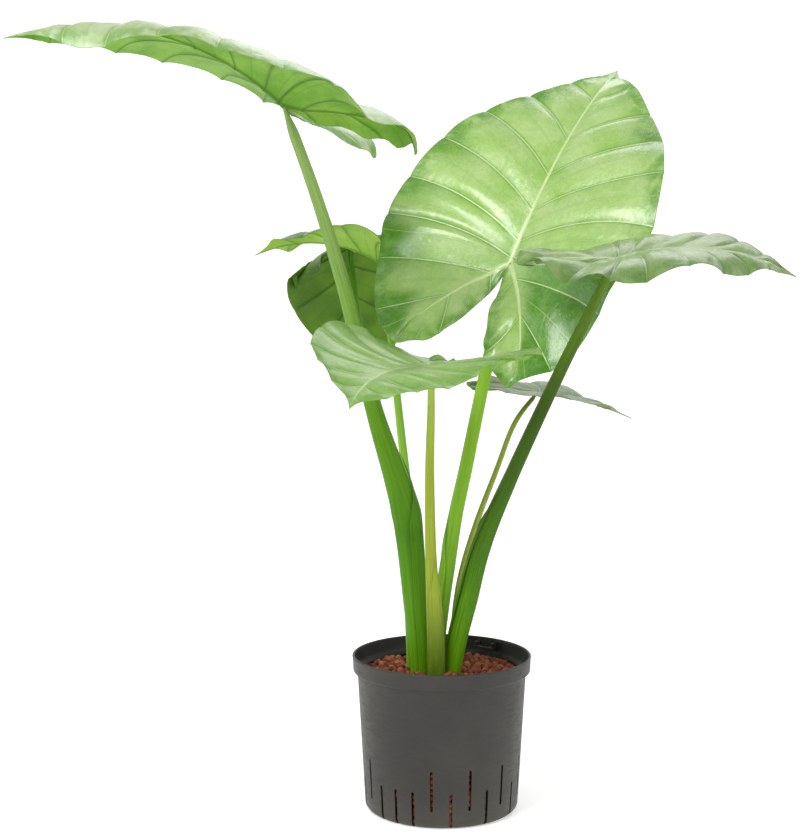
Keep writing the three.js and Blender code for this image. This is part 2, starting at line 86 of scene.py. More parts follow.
LEAVES = {
    "upper_left": leaf(
        334, 146, 150, 0.5, 0.06, (-188, -40, 857), 200, 42, 2, 60, -9, 0.16, 4, 1.1, 12, 5,
        half(24, -25, -5, -26, -28, 7, 17, 7, 3.7, 0.13), half(12, 6, 10, -28, -28, 17, 17, 5, 2.5, 0.84)),
    "centre": leaf(
        348, 181, 166, 0.44, 0.14, (88, 95, 669), 30, 66, 33, 44, 1, 0.09, 4, 1.1, 12, 5,
        half(12.5, -11, 2.5, -19, -21, -1.5, -4, 3.2, 3.6, 0.08),
        half(26, -19, -16, -21, -14, -2, -6, 9.8, 3.7, 0.88, -1)),
    "right": leaf(
        200, 107, 117, 0.5, 0.05, (193.5, -120, 677.5), -9, 19, 18, 49, 0, 0.08, 3.5, 0.9, 12, 4,
        half(11, -46, 7, -6, -8, 2, -5, -2.5, 3.8, -0.27), half(18, -11, 6, -8, -13, -28, 12, 7, 4.2, 0.73)),
    "rear_left": leaf(
        160, 92, 70, 0.52, 0.04, (-78, 235, 668), 171, 31, 6, 52, 3, 0, 2.5, 0.7, 8, 4,
        half(25, -29, 2.5, 4.5, 2.5, 6, 5, 15, 2.14, 0.23), half(13, -11, 4, -1, 1, 5, 4, 6, 3.6, 0.23)),
    "front": leaf(
        166, 126, 105, 0.54, 0.04, (-16, -130, 555), 220.5, 6.5, 45.6, 46, -16.5, 0.03, 3, 0.8, 12, 4,
        half(-34, -1.5, 9.5, -7, -7, 6, 4, 3, 3.7, -0.42), half(52, 20, -16, 1, -7, -10, -4, 2.5, 3.8, 0.62)),
    "low_right": leaf(
        113, 70, 89, 0.52, 0.04, (126, 148, 500.5), 2, -5, 2, 18, -1, 0.01, 2.2, 0.6, 8, 4,
        half(11, -6, 1, -2, -2, 10, 3, 4.5, 3, 0.01), half(8, -7, -2, 0, -4, 5, 1, -2, 3.6, 0.08)),
    "hanging": leaf(
        200, 117, 62, 0.5, 0.04, (-122, 378, 690), 76, -64, -30, 17, 3, 0.07, 2.5, 0.7, 8, 4,
        half(-11, -28, -8, 5, 53, 3, 4, 6, 3.5, -0.29), half(-5, -21, 0, 0, 60, 10, 5, 4.5, 3.4, 0.24)),
}

# Deep green parts of a blade, partly the leaf's own deep green and partly painted darker reflections: side,
# span along the outline, share of the way to the edge, strength
DEEP_GREEN_AND_PAINTED_REFLECTION_PARTS = {
    "centre": [(-1, 0.6, 0.99, 0.05, 0.95), (1, 0.58, 0.72, 0.62, 0.9), (1, 0.8, 0.99, 0.4, 0.95),
               (-1, 0.24, 0.34, 0.66, 0.8), (1, 0.17, 0.23, 0.66, 0.8), (1, 0.36, 0.42, 0.7, 0.8)],
}

# Each stalk: the points of its path up to the blade, then its widths and depths from foot to top
STEMS = {
    "upper_left": ([(-24, -1, STEM_FOOT), (-27, -1, 190), (-33, -2, 259), (-39, -3, 330),
                    (-44, -4, 368), (-55, -5, 408), (-82, -8, 494), (-117, -14, 639), (-149, -24, 746)],
                   [24, 26, 29, 33, 36, 31, 22, 18, 15, 12], [20, 20, 21, 21, 21, 20, 18, 15, 13, 10]),
    "right": ([(9, -4, STEM_FOOT), (15, -5, 190), (31, -9, 261), (48, -15, 329), (84, -32, 421),
               (136, -66, 544), (167, -94, 615)],
              [20, 24, 26, 24, 18, 15, 13, 10], [18, 19, 19, 18, 16, 14, 12, 9]),
    "front": ([(-7, -21, STEM_FOOT), (-8, -23, 200), (-11, -27, 264), (-14, -34, 320), (-16, -54, 427),
               (-15, -88, 505)],
              [20, 21, 18, 14, 11, 9, 7.5], [12, 12, 12, 11, 10, 9, 7.5]),
    "centre": ([(-6, 14, STEM_FOOT), (-5, 16, 190), (0, 19, 243), (8, 24, 298), (18, 33, 361),
                (30, 42, 415), (54, 66, 527), (73, 84, 610)],
               [17, 18, 19, 19, 18, 17, 16, 14, 11], [14, 15, 16, 16, 16, 15, 14, 12, 10]),
    "rear_left": ([(-22, 22, STEM_FOOT), (-23, 27, 200), (-36, 62, 338), (-45, 92, 411), (-55, 134, 497),
                   (-65, 182, 585)],
                  [12, 12, 11.5, 11, 10, 9, 7], [10, 10, 10, 10, 9, 8, 7]),
    "low_right": ([(12, 17, STEM_FOOT), (14, 20, 200), (22, 28, 273), (40, 44, 336), (70, 70, 411),
                   (94, 100, 466)],
                  [9, 9, 8.5, 8, 7, 6.5, 5.5], [9, 9, 8, 7.5, 7, 6, 5.5]),
    "hanging": ([(-38, 15, STEM_FOOT), (-39, 22, 200), (-50, 86, 345), (-73, 140, 441), (-102, 224, 564),
                 (-116, 320, 640)],
                [10, 10, 10, 9.5, 8.5, 7.5, 6], [10, 10, 9.5, 9, 8, 7, 6]),
}


# Camera
def make_camera():
    data = bpy.data.cameras.new("camera")
    data.lens = 78.37
    data.sensor_width = 36
    data.clip_end = 30
    cam = bpy.data.objects.new("camera", data)
    cam.location = (-0.0513, -2.2, 0.7183)
    cam.rotation_euler = (math.radians(83.9), 0, 0)
    bpy.context.scene.collection.objects.link(cam)
    bpy.context.scene.camera = cam


# Mesh helpers
def new_object(name, verts, faces, materials, indices=None, scale=MM):
    me = bpy.data.meshes.new(name)
    me.from_pydata((np.asarray(verts, float) * scale).tolist(), [], [list(map(int, f)) for f in faces])
    for m in materials:
        me.materials.append(m)
    if indices is not None:
        me.polygons.foreach_set("material_index", np.asarray(indices, np.int32))
    me.shade_smooth()
    me.update()
    ob = bpy.data.objects.new(name, me)
    bpy.context.scene.collection.objects.link(ob)
    return ob


def add_attribute(ob, name, values):
    values = np.asarray(values, np.float32)
    kind = "FLOAT" if values.ndim == 1 else "FLOAT_VECTOR"
    a = ob.data.attributes.new(name, kind, "POINT")
    a.data.foreach_set("value" if values.ndim == 1 else "vector", values.ravel())


def smooth(x, lo, hi):
    k = np.clip((x - lo) / (hi - lo), 0, 1)
    return k * k * (3 - 2 * k)


# Blade surface, the same formula as the solids
def bezier(p, t):
    p = np.array(p, float)
    t = t[:, None]
    s = 1 - t
    return s**3 * p[0] + 3 * s * s * t * p[1] + 3 * s * t * t * p[2] + t**3 * p[3]


def outline(w, lf, notch):
    L, W, B = lf["L"], lf["W"], lf["B"]
    y = lf["lobe"] * W
    x = lf["wide"] * L
    tip = bezier([(L, 0), (0.86 * L, 0.3 * W), (0.55 * L, W), (x, W)], np.clip(w / 0.5, 0, 1))
    tip[:, 0] += TIP_DRIP * np.clip(1 - w / 0.05, 0, 1) ** 2
    side = bezier([(x, W), (x - 0.45 * (x + B), W), (-B, y + 0.42 * (W - y)), (-B, y)],
                  np.clip((w - 0.5) / 0.5, 0, 1))
    home = bezier([(-B, y), (-B, 0.45 * y), (-0.5 * B, 0.05 * W * notch), (0, 0)], np.clip(w - 1, 0, 1))
    return np.where((w < 0.5)[:, None], tip, np.where((w < 1)[:, None], side, home))


def rib_line(w, lf):
    L, W, B, lobe = lf["L"], lf["W"], lf["B"], lf["lobe"]
    body = np.stack([L * np.interp(w, VEIN_W, VEIN_START) + TIP_DRIP * (w == 0), 0 * w], -1)
    k = np.clip(np.where(w <= 1, (w - ATTACH_W) / (1 - ATTACH_W), 2 - w), 0, 1)[:, None]
    c = np.array([-0.3 * B, 0.62 * lobe * W])
    e = np.array([-0.8 * B, 0.98 * lobe * W])
    return np.where((w <= ATTACH_W)[:, None], body, 2 * (1 - k) * k * c + k * k * e)


def flat_points(w, t, lf, notch):
    m = outline(w, lf, notch)
    s = rib_line(w, lf)
    d = np.linalg.norm(m - s, axis=1)
    c = (s + m) / 2
    c[:, 0] += np.interp(w, [0, ATTACH_W, 1, 1.3, 2], [0.12, 0.14, 0, -0.05, 0]) * d
    t = t[None, :, None]
    return (1 - t) ** 2 * s[:, None] + 2 * (1 - t) * t * c[:, None] + t * t * m[:, None]


def bent_line(q, slope):
    steps = 40
    x = np.zeros_like(q)
    z = np.zeros_like(q)
    for i in range(steps):
        a = slope(q * (i + 0.5) / steps)
        x += np.cos(a) * q / steps
        z += np.sin(a) * q / steps
    return x, z


def leaf_turn(lf):
    a, b, c = (math.radians(lf[k]) for k in ("yaw", "pitch", "roll"))
    rz = np.array([[math.cos(a), -math.sin(a), 0], [math.sin(a), math.cos(a), 0], [0, 0, 1]])
    ry = np.array([[math.cos(b), 0, -math.sin(b)], [0, 1, 0], [math.sin(b), 0, math.cos(b)]])
    rx = np.array([[1, 0, 0], [0, math.cos(c), -math.sin(c)], [0, math.sin(c), math.cos(c)]])
    return rz @ ry @ rx


def blade_points(w, t, side, lf, extra):
    """Points of one half of the middle surface, w along the outline and t from the rib to the edge."""
    L, W, B = lf["L"], lf["W"], lf["B"]
    h = lf["left"] if side > 0 else lf["right"]
    uv = flat_points(w, t, lf, h["notch"])
    u, v = uv[..., 0], uv[..., 1]
    back = u < 0
    rad = math.radians
    q = np.where(back, np.clip(-u / B, 0, 1.2), np.clip(u / L, 0, 1.15))

    def arch(x):
        return -rad(lf["arch"]) * np.minimum(x, 1)

    def drop(x):
        return -(rad(h["lobe_curl"]) * x + rad(h["lobe_drop"]) * np.minimum(x / 0.25, 1))

    fx, fz = bent_line(q, arch)
    bx, bz = bent_line(q, drop)
    px = np.where(back, -bx * B, fx * L)
    pz = np.where(back, bz * B, fz * L)
    lean = np.where(back, -drop(q), arch(q))
    front = np.clip(u / L, 0, 1)
    rear = np.clip(-u / B, 0, 1)
    fold = rad(h["fold"]) + rad(h["fold_rear"]) * rear + rad(h["fold_tip"]) * front
    turn = rad(h["curl"] if abs(h["curl"]) > 0.01 else 0.01) / W
    end = fold + turn * v
    across = (np.sin(end) - np.sin(fold)) / turn
    rise = (np.cos(fold) - np.cos(end)) / turn
    ww, tt = w[:, None], t[None, :]
    edge = -h["hem"] * tt**4 + h["wave"] * tt**3 * np.sin(2 * np.pi * (h["waves"] * ww + h["phase"]))
    edge = edge + extra
    edge = edge * np.clip(ww / 0.15, 0, 1) * np.where(ww > 1, np.clip(2 - ww, 0, 1), 1)
    lat = (across - edge * np.sin(end)) * side
    up = rise + edge * np.cos(end)
    twist = rad(lf["twist"]) * front
    y = lat * np.cos(twist) - up * np.sin(twist)
    z = lat * np.sin(twist) + up * np.cos(twist)
    px = px - z * np.sin(lean)
    pz = pz + z * np.cos(lean)
    py = y + lf["bend"] * L * np.clip(u / L, 0, 1.1) ** 2 / 2
    p = np.stack([px, py, pz], -1) @ leaf_turn(lf).T + np.array(lf["at"], float)
    return p, uv * np.array([1, side])


# Steps from one side vein to half way to the next, and from the midrib to the edge
SUB = [0, 0.03, 0.07, 0.13, 0.22, 0.34]
ROWS = np.concatenate([[0, 0.006, 0.012, 0.02, 0.03, 0.045, 0.065], np.linspace(0.09, 0.94, 27),
                       [0.96, 0.975, 0.987, 0.995, 1.0]])


def column_value(c, lf):
    """Outline parameter w of column number c; odd whole numbers are the side veins."""
    nb, nl = lf["body"], lf["lobes"]
    knots = [0, 1] + [2 + i for i in range(nb + 1)]
    value = [0, 0.03] + [0.07 + (ATTACH_W - 0.07) * i / nb for i in range(nb + 1)]
    knots += [2 + nb + i for i in range(1, 2 * nl + 1)]
    value += [ATTACH_W + (1 - ATTACH_W) * i / nl for i in range(1, nl + 1)]
    value += [1 + i / nl for i in range(1, nl + 1)]
    return np.interp(c, knots, value)


def blade_columns(lf):
    """Column numbers of one half, closest together beside each side vein."""
    cols = []
    last = 2 + lf["body"] + 2 * lf["lobes"]
    for i in range(last):
        if i % 2:
            cols += [i + 2 * s for s in SUB]
        else:
            cols += [i] + sorted(i + 1 - 2 * s for s in SUB[1:])
    return np.array(cols + [last], float)


def build_blade(name, lf, materials, seed):
    rng = np.random.default_rng(seed)
    c = blade_columns(lf)
    w = column_value(c, lf)
    t = ROWS
    f = np.abs(((c + 1) / 2 + 0.5) % 1 - 0.5)
    bulge = (4 * f * (1 - f)) ** 0.75
    f2 = np.abs((c + 0.5) % 1 - 0.5)
    minor = (4 * f2 * (1 - f2)) ** 0.8
    nw, nt = len(w), len(t)
    gap = ((c + 1) / 2) % 1
    pts, flats, ribs, veins, minors, edges, nets, shifts, weights, shades = ([] for _ in range(10))
    for side in (1, -1):
        a = rng.uniform(-1, 1, 6)
        k = np.arange(1, 7)[:, None]
        wob = (a[:, None] * np.sin(k * 5.1 * w[None, :] + a[:, None] * 9)).sum(0) / 3
        extra = (t[None, :] ** 5) * (2.6 * bulge - 1.2 + 2.2 * wob)[:, None] * lf["puff"]
        extra = extra * np.clip(w / 0.2, 0, 1)[:, None]
        p, uv = blade_points(w, t, side, lf, extra)
        along = np.zeros((nw, nt))
        along[:, 1:] = np.cumsum(np.linalg.norm(np.diff(p, axis=1), axis=2), axis=1)
        total = along[:, -1:]
        step = np.gradient(p, c / 2, axis=0, edge_order=1)
        spacing = np.linalg.norm(step, axis=2)
        d_vein = spacing * f[:, None]
        d_vein[c < 2.2] = 99
        d_minor = spacing * f2[:, None] / 2
        d_minor[c < 2.2] = 99
        middle = np.sin(np.pi * np.clip(t, 0, 0.9))[None, :] * np.clip(w / 0.12, 0, 1)[:, None]
        wobble = 1 + 0.35 * np.sin(c * 2.3 + seed)[:, None]
        shift = lf["puff"] * (QUILT * bulge[:, None] * wobble - 1.5) * middle
        shift += lf["puff"] * 0.9 * (minor[:, None] - 0.4) * smooth(t, 0.12, 0.5)[None, :] * middle
        shift *= smooth(spacing, 3, 30)
        pts.append(p.reshape(-1, 3))
        flats.append(np.concatenate([uv, np.zeros((nw, nt, 1))], 2).reshape(-1, 3))
        ribs.append(along.ravel())
        veins.append(d_vein.ravel())
        minors.append(d_minor.ravel())
        edges.append((total - along).ravel())
        side_c = np.repeat((c / 2 * 5 + (40 if side < 0 else 0))[:, None], nt, 1)
        nets.append(np.stack([side_c, along / 11, 0 * along], -1).reshape(-1, 3))
        shifts.append(shift.ravel())
        wr = np.interp(w, [0, ATTACH_W, 0.9, 1, 1.2, 2], [0.15, 1, 0.35, 0.2, 0.3, 1])
        weights.append(np.repeat(wr[:, None], nt, 1).ravel())
        # Painted shade on one side of each side vein, fading towards the next vein, at a random depth and
        # only towards the edge
        depth = rng.uniform(0.15, 0.8, 40)[((c + 1) / 2).astype(int)]
        shade = (depth * (1 - smooth(gap, 0.05, 0.6)))[:, None] * smooth(t, 0.45, 0.95)[None, :]
        # Deep green parts: partly the leaf's own colour, partly painted darker reflections
        for part_side, w0, w1, t0, strength in DEEP_GREEN_AND_PAINTED_REFLECTION_PARTS.get(name, []):
            if part_side == side:
                span = smooth(w, w0 - 0.02, w0 + 0.02) * (1 - smooth(w, w1 - 0.05, w1 + 0.01))
                shade = np.maximum(shade, strength * span[:, None] * smooth(t, t0 - 0.1, t0 + 0.25)[None, :])
        shades.append(shade.ravel())
    pts = np.concatenate(pts)
    key = np.round(pts * 50).astype(np.int64)
    _, first, inverse = np.unique(key, axis=0, return_index=True, return_inverse=True)
    inverse = inverse.ravel()

    def pick(rows):
        return np.concatenate(rows)[first]

    mid = pts[first]
    rib_d, vein_d, minor_d, edge_d = pick(ribs), pick(veins), pick(minors), pick(edges)
    net, flat, shift, weight, shade = pick(nets), pick(flats), pick(shifts), pick(weights), pick(shades)
    tris, rim = [], []
    for s, side in enumerate((1, -1)):
        g = inverse[s * nw * nt:(s + 1) * nw * nt].reshape(nw, nt)
        a, b, cc, d = g[:-1, :-1].ravel(), g[:-1, 1:].ravel(), g[1:, 1:].ravel(), g[1:, :-1].ravel()
        tri = np.concatenate([np.stack([a, b, cc], 1), np.stack([a, cc, d], 1)])
        ok = (tri[:, 0] != tri[:, 1]) & (tri[:, 1] != tri[:, 2]) & (tri[:, 0] != tri[:, 2])
        tri = tri[ok]
        tris.append(tri if side > 0 else tri[:, [0, 2, 1]])
        e = np.stack([g[:-1, -1], g[1:, -1]], 1)
        e = e[e[:, 0] != e[:, 1]]
        rim.append(e if side > 0 else e[:, ::-1])
    tris, rim = np.concatenate(tris), np.concatenate(rim)
    n = np.cross(mid[tris[:, 1]] - mid[tris[:, 0]], mid[tris[:, 2]] - mid[tris[:, 0]])
    normals = np.zeros_like(mid)
    for k in range(3):
        np.add.at(normals, tris[:, k], n)
    normals /= np.maximum(np.linalg.norm(normals, axis=1), 1e-12)[:, None]
    if (normals @ (leaf_turn(lf) @ np.array([0, 0, 1]))).sum() < 0:
        normals = -normals
        tris, rim = tris[:, [0, 2, 1]], rim[:, ::-1]
    thick = np.where(edge_d < 3, 0.35 + 0.15 * edge_d / 3, 0.5) * BLADE_T
    core = 1.6 + 2.4 * weight * lf["rib"] / 4
    ridge = np.exp(-(rib_d / core) ** 2)
    cord = np.exp(-(vein_d / 1.1) ** 2) * smooth(edge_d, 1, 14)
    top = mid + normals * (thick + shift + 0.45 * cord * (1 - ridge) + 0.5 * weight * ridge)[:, None]
    low = mid - normals * (thick - shift + 0.9 * cord + lf["rib"] * weight * ridge)[:, None]
    count = len(mid)
    faces = np.concatenate([tris, tris[:, [0, 2, 1]] + count])
    rim_faces = np.concatenate([np.stack([rim[:, 1], rim[:, 0], rim[:, 0] + count], 1),
                                np.stack([rim[:, 1], rim[:, 0] + count, rim[:, 1] + count], 1)])
    index = np.concatenate([np.zeros(len(tris)), np.ones(len(tris)), np.zeros(len(rim_faces))])
    ob = new_object("leaf_" + name, np.concatenate([top, low]), np.concatenate([faces, rim_faces]),
                    materials, index)
    add_attribute(ob, "vein", np.tile(np.where(edge_d < 4, vein_d + (4 - edge_d) * 0.5, vein_d), 2))
    add_attribute(ob, "minor", np.tile(minor_d, 2))
    add_attribute(ob, "rib", np.tile(rib_d / np.maximum(core, 0.5), 2))
    add_attribute(ob, "edge", np.tile(edge_d, 2))
    add_attribute(ob, "bulge", np.tile(np.clip(shift / lf["puff"], -1, 2), 2))
    add_attribute(ob, "shade", np.tile(shade, 2))
    add_attribute(ob, "net", np.tile(net, (2, 1)))
    add_attribute(ob, "flat", np.tile(flat, (2, 1)))
    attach(ob, "root")
    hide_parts("blade_" + name)
    return ob


# Materials
def linear(r, g, b):
    """Colour as 0 to 255 on screen, turned into the shader's own values."""
    parts = [c / 255 / 12.92 if c <= 10 else ((c / 255 + 0.055) / 1.055) ** 2.4 for c in (r, g, b)]
    return (*parts, 1.0)


class Nodes:
    """Small helper that adds and links nodes of one material."""

    def __init__(self, name):
        self.mat = bpy.data.materials.new(name)
        self.mat.use_nodes = True
        self.tree = self.mat.node_tree
        self.tree.nodes.clear()
        self.out = self.add("ShaderNodeOutputMaterial")

    def add(self, kind, **values):
        n = self.tree.nodes.new(kind)
        for k, v in values.items():
            setattr(n, k, v)
        return n

    def link(self, a, b):
        self.tree.links.new(a, b)

    def put(self, socket, value):
        if isinstance(value, bpy.types.NodeSocket):
            self.link(value, socket)
        else:
            socket.default_value = value

    def attribute(self, name):
        return self.add("ShaderNodeAttribute", attribute_name=name)

    def math(self, op, a, b):
        n = self.add("ShaderNodeMath", operation=op)
        self.put(n.inputs[0], a)
        self.put(n.inputs[1], b)
        return n.outputs[0]

    def fade(self, value, lo, hi, a=0.0, b=1.0):
        n = self.add("ShaderNodeMapRange", interpolation_type="SMOOTHSTEP")
        self.put(n.inputs[0], value)
        for i, x in enumerate((lo, hi, a, b)):
            self.put(n.inputs[i + 1], x)
        return n.outputs[0]

    def mix(self, factor, a, b):
        n = self.add("ShaderNodeMix", data_type="RGBA", blend_type="MIX")
        self.put(n.inputs["Factor"], factor)
        self.put(n.inputs[6], a)
        self.put(n.inputs[7], b)
        return n.outputs[2]

    def noise(self, vector, scale, detail=4.0, rough=0.5, stretch=None):
        if stretch is not None:
            m = self.add("ShaderNodeMapping")
            self.put(m.inputs["Vector"], vector)
            m.inputs["Scale"].default_value = stretch
            vector = m.outputs[0]
        n = self.add("ShaderNodeTexNoise")
        self.put(n.inputs["Vector"], vector)
        n.inputs["Scale"].default_value = scale
        n.inputs["Detail"].default_value = detail
        n.inputs["Roughness"].default_value = rough
        return n.outputs["Fac"]

    def voronoi(self, vector, scale, feature="F1"):
        n = self.add("ShaderNodeTexVoronoi", feature=feature)
        self.put(n.inputs["Vector"], vector)
        n.inputs["Scale"].default_value = scale
        return n

    def bump(self, height, strength, distance, before=None):
        n = self.add("ShaderNodeBump")
        n.inputs["Strength"].default_value = strength
        n.inputs["Distance"].default_value = distance
        self.put(n.inputs["Height"], height)
        if before is not None:
            self.link(before, n.inputs["Normal"])
        return n.outputs[0]

    def surface(self, colour, rough, normal, specular, coat=0.0, coat_rough=0.2, translucent=0.0, glow=None):
        p = self.add("ShaderNodeBsdfPrincipled")
        self.put(p.inputs["Base Color"], colour)
        self.put(p.inputs["Roughness"], rough)
        if normal is not None:
            self.link(normal, p.inputs["Normal"])
        p.inputs["Specular IOR Level"].default_value = specular
        p.inputs["Coat Weight"].default_value = coat
        p.inputs["Coat Roughness"].default_value = coat_rough
        if translucent:
            tr = self.add("ShaderNodeBsdfTranslucent")
            self.put(tr.inputs["Color"], glow)
            m = self.add("ShaderNodeMixShader")
            m.inputs[0].default_value = translucent
            self.link(p.outputs[0], m.inputs[1])
            self.link(tr.outputs[0], m.inputs[2])
            self.link(m.outputs[0], self.out.inputs["Surface"])
        else:
            self.link(p.outputs[0], self.out.inputs["Surface"])
        return self.mat


def leaf_top(name, light, mid, deep, vein, rough, coat, lines):
    n = Nodes(name)
    flat = n.attribute("flat").outputs["Vector"]
    net = n.attribute("net").outputs["Vector"]
    d_vein = n.attribute("vein").outputs["Fac"]
    d_minor = n.attribute("minor").outputs["Fac"]
    d_rib = n.attribute("rib").outputs["Fac"]
    d_edge = n.attribute("edge").outputs["Fac"]
    bulge = n.attribute("bulge").outputs["Fac"]
    broad = n.noise(flat, 0.018, 3, 0.5)
    patch = n.noise(flat, 0.045, 4, 0.6)
    fine = n.noise(flat, 0.16, 5, 0.6)
    tone = n.mix(n.fade(broad, 0.35, 0.65), mid, light)
    # Painted highlight: lighter where the quilting bulges up between the veins
    tone = n.mix(n.fade(bulge, -0.6, 2.4, 0.0, 0.45), tone, light)
    # Deep green patches towards the edge, partly the leaf's own colour and partly painted darker reflections
    rim = n.math("MULTIPLY", n.fade(d_edge, 40, 4), n.fade(patch, 0.38, 0.6, 0.1, 0.7))
    tone = n.mix(rim, tone, deep)
    # Painted shade beside the side veins, with deep green parts that are partly painted darker reflections
    shade = n.attribute("shade").outputs["Fac"]
    tone = n.mix(n.math("MULTIPLY", shade, n.fade(patch, 0.25, 0.6, 0.7, 1.0)), tone, deep)
    tone = n.mix(n.fade(fine, 0.35, 0.7, 0.0, 0.2), tone, deep)
    cells = n.voronoi(net, 1.0, "DISTANCE_TO_EDGE").outputs["Distance"]
    web = n.fade(cells, 0.06, 0.0, 0.0, 1.0)
    tone = n.mix(n.math("MULTIPLY", web, 0.1), tone, vein)
    # Painted shade: darker in the sunken bands beside the side veins and the minor veins
    tone = n.mix(n.fade(d_vein, 1.0, 5.0, 0.42, 0.0), tone, deep)
    tone = n.mix(n.fade(d_minor, 0.5, 2.6, 0.3, 0.0), tone, deep)
    tone = n.mix(n.fade(d_minor, 0.3, 0.9, 0.5 * lines, 0.0), tone, vein)
    line = n.math("MULTIPLY", n.fade(d_vein, 0.4, 1.25, lines, 0.0), n.fade(d_edge, 2, 30, 0.5, 1.0))
    tone = n.mix(line, tone, vein)
    tone = n.mix(n.fade(d_rib, 0.5, 1.2, min(1.0, lines + 0.25), 0.0), tone, vein)
    tone = n.mix(n.fade(d_edge, 0.4, 1.3, 0.55, 0.0), tone, deep)
    height = n.math("SUBTRACT", n.math("MULTIPLY", fine, 0.4), n.math("MULTIPLY", web, 0.15))
    normal = n.bump(height, 0.5, 0.0012, n.bump(patch, 0.35, 0.006))
    gloss = n.fade(fine, 0.3, 0.75, rough - 0.06, rough + 0.1)
    return n.surface(tone, gloss, normal, 0.5, coat, 0.2, 0.16, n.mix(0.5, mid, linear(150, 200, 30)))


def leaf_under(name, light, mid, vein):
    n = Nodes(name)
    flat = n.attribute("flat").outputs["Vector"]
    net = n.attribute("net").outputs["Vector"]
    d_vein = n.attribute("vein").outputs["Fac"]
    d_minor = n.attribute("minor").outputs["Fac"]
    d_rib = n.attribute("rib").outputs["Fac"]
    d_edge = n.attribute("edge").outputs["Fac"]
    broad = n.noise(flat, 0.02, 3, 0.5)
    fine = n.noise(flat, 0.2, 5, 0.6)
    tone = n.mix(n.fade(broad, 0.35, 0.65), mid, light)
    tone = n.mix(n.fade(fine, 0.35, 0.7, 0.0, 0.2), tone, light)
    cells = n.voronoi(net, 1.0, "DISTANCE_TO_EDGE").outputs["Distance"]
    web = n.fade(cells, 0.07, 0.0, 0.0, 1.0)
    tone = n.mix(n.math("MULTIPLY", web, 0.16), tone, vein)
    tone = n.mix(n.fade(d_vein, 0.9, 4.0, 0.3, 0.0), tone, vein)
    tone = n.mix(n.fade(d_vein, 0.4, 1.3, 0.6, 0.0), tone, vein)
    tone = n.mix(n.fade(d_minor, 0.3, 1.4, 0.3, 0.0), tone, vein)
    tone = n.mix(n.fade(d_rib, 0.6, 1.3, 0.7, 0.0), tone, vein)
    tone = n.mix(n.fade(d_edge, 0.4, 1.4, 0.4, 0.0), tone, vein)
    height = n.math("ADD", n.math("MULTIPLY", fine, 0.3), n.math("MULTIPLY", web, 0.25))
    normal = n.bump(height, 0.5, 0.0012)
    gloss = n.fade(fine, 0.3, 0.75, 0.44, 0.6)
    return n.surface(tone, gloss, normal, 0.35, 0.0, 0.3, 0.22, n.mix(0.4, light, linear(150, 205, 30)))


def stem_skin(name, low, mid, upper, high, streak):
    n = Nodes(name)
    along = n.attribute("along").outputs["Fac"]
    around = n.attribute("around").outputs["Vector"]
    rise = n.add("ShaderNodeValToRGB")
    n.link(along, rise.inputs[0])
    ramp = rise.color_ramp
    ramp.elements[0].position, ramp.elements[0].color = 0.06, low
    ramp.elements[1].position, ramp.elements[1].color = 0.95, high
    for place, colour in ((0.36, mid), (0.66, upper)):
        ramp.elements.new(place).color = colour
    lines = n.noise(around, 1.0, 4, 0.6, (9.0, 9.0, 0.012))
    lines2 = n.noise(around, 1.0, 3, 0.5, (30.0, 30.0, 0.03))
    mottle = n.noise(around, 1.0, 4, 0.55, (2.0, 2.0, 0.05))
    tone = n.mix(n.fade(lines, 0.4, 0.68, 0.0, 0.45), rise.outputs[0], streak)
    tone = n.mix(n.fade(mottle, 0.45, 0.75, 0.0, 0.25), tone, upper)
    rim = n.attribute("rim").outputs["Fac"]
    tone = n.mix(n.fade(rim, 0.3, 1.0, 0.0, 0.75), tone, streak)
    height = n.math("ADD", lines, n.math("MULTIPLY", lines2, 0.5))
    normal = n.bump(height, 0.45, 0.0009)
    gloss = n.fade(lines2, 0.3, 0.7, 0.37, 0.54)
    return n.surface(tone, gloss, normal, 0.16)


def pot_plastic():
    n = Nodes("pot_plastic")
    where = n.add("ShaderNodeTexCoord").outputs["Object"]
    big = n.noise(where, 9, 3, 0.5)
    grain = n.noise(where, 900, 3, 0.6)
    scuff = n.noise(where, 1.0, 5, 0.62, (60, 60, 260))
    height = n.add("ShaderNodeSeparateXYZ")
    n.link(where, height.inputs[0])
    tone = n.mix(n.fade(big, 0.35, 0.65), linear(33, 31, 28), linear(42, 40, 36))
    tone = n.mix(n.fade(scuff, 0.62, 0.74, 0.0, 0.35), tone, linear(70, 67, 60))
    tone = n.mix(n.fade(height.outputs[2], 0.05, 0.0, 0.0, 0.35), tone, linear(74, 70, 58))
    tone = n.mix(n.fade(grain, 0.45, 0.75, 0.0, 0.25), tone, linear(60, 58, 53))
    normal = n.bump(grain, 0.25, 0.0004, n.bump(big, 0.2, 0.004))
    gloss = n.fade(scuff, 0.4, 0.75, 0.46, 0.62)
    return n.surface(tone, gloss, normal, 0.45)


def pot_inside():
    n = Nodes("pot_inside")
    where = n.add("ShaderNodeTexCoord").outputs["Object"]
    grain = n.noise(where, 500, 4, 0.6)
    big = n.noise(where, 22, 4, 0.6)
    tone = n.mix(n.fade(big, 0.4, 0.7), linear(24, 25, 23), linear(38, 38, 35))
    tone = n.mix(n.fade(grain, 0.55, 0.75, 0.0, 0.3), tone, linear(58, 52, 46))
    return n.surface(tone, n.fade(big, 0.3, 0.7, 0.42, 0.6), n.bump(grain, 0.3, 0.0004), 0.4)


